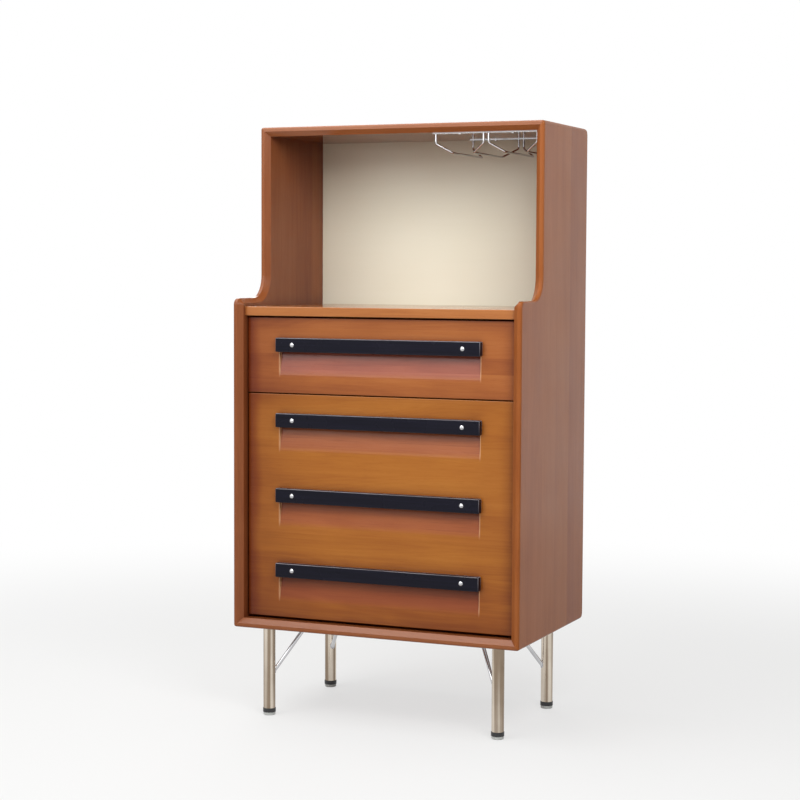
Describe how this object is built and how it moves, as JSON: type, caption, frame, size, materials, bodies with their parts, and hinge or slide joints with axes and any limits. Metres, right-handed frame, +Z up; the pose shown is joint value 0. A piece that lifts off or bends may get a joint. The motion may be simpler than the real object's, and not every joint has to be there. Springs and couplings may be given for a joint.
{
  "type": "side cabinet",
  "caption": "Free-standing side cabinet with an open hutch, a drawer over a tall hinged door, bar pulls with finger scoops, a wire glass rack and braced steel legs.",
  "frame": {"origin": "on the floor under the middle of the cabinet's width and depth", "axes": "+Z up, +X to the right seen from the front, +Y from the front to the back"},
  "size_m": [0.6, 0.38, 1.17],
  "materials": {
    "stained_wood": "warm brown stain under satin lacquer, straight grain",
    "cream_board": "cream lacquer, satin",
    "pale_wood": "clear matt lacquer",
    "beech": "bare",
    "black_lacquer": "black lacquer, satin",
    "polished_steel": "polished",
    "chrome_wire": "bright chrome plating",
    "plated_steel": "zinc plating",
    "black_plastic": "moulded",
    "pale_plastic": "moulded"
  },
  "bodies": {
    "cabinet": {"left_side_panel": "stained_wood", "right_side_panel": "stained_wood", "top_panel": "stained_wood", "bottom_panel": "stained_wood", "counter": "stained_wood", "adjustable_shelf": "stained_wood", "drawer_divider": "stained_wood", "lower_back_panel": "stained_wood", "upper_back_panel": "cream_board", "board_dowels": "beech", "mitre_splines": "beech", "front_left_leg": "polished_steel", "front_right_leg": "polished_steel", "back_left_leg": "polished_steel", "back_right_leg": "polished_steel", "leg_braces": "polished_steel", "leg_plates": "polished_steel", "left_rack_rails": "chrome_wire", "right_rack_rails": "chrome_wire", "rack_straps": "chrome_wire", "rack_screws": "chrome_wire", "left_slide_outer": "plated_steel", "right_slide_outer": "plated_steel", "slide_case_screws": "plated_steel", "upper_hinge_arm": "plated_steel", "lower_hinge_arm": "plated_steel", "hinge_plates": "plated_steel", "hinge_plate_screws": "plated_steel", "back_panel_screws": "plated_steel", "leg_screws": "plated_steel", "shelf_pins": "plated_steel", "foot_rings": "black_plastic", "magnetic_catch": "black_plastic", "foot_pads": "pale_plastic"},
    "drawer": {"drawer_inner_front": "pale_wood", "drawer_left_side": "pale_wood", "drawer_right_side": "pale_wood", "drawer_back": "pale_wood", "drawer_bottom": "pale_wood", "drawer_front": "stained_wood", "drawer_bar_pull": "black_lacquer", "drawer_pull_screws": "polished_steel", "drawer_front_screws": "plated_steel", "left_slide_inner": "plated_steel", "right_slide_inner": "plated_steel", "slide_drawer_screws": "plated_steel"},
    "slide_middles": {"left_slide_middle": "plated_steel", "right_slide_middle": "plated_steel"},
    "door": {"door_panel": "stained_wood", "upper_door_bar_pull": "black_lacquer", "middle_door_bar_pull": "black_lacquer", "lower_door_bar_pull": "black_lacquer", "door_pull_screws": "polished_steel", "upper_hinge_cup": "plated_steel", "lower_hinge_cup": "plated_steel", "hinge_pins": "plated_steel", "hinge_cup_screws": "plated_steel", "strike_plate": "plated_steel"}
  },
  "joints": [
    {"name": "drawer_slide", "type": "slide", "parent": "cabinet", "child": "drawer", "axis": [0, -1, 0], "range_m": [0, 0.28]},
    {"name": "slide_extension", "type": "slide", "parent": "cabinet", "child": "slide_middles", "axis": [0, -1, 0], "range_m": [0, 0.14]},
    {"name": "door_hinge", "type": "hinge", "parent": "cabinet", "child": "door", "pos_m": [-0.26098, -0.156, 0.42294], "axis": [0, 0, -1], "range_deg": [0, 90]}
  ],
  "couplings": [
    {"joint": "slide_extension", "follows": "drawer_slide", "ratio": 0.5}
  ]
}
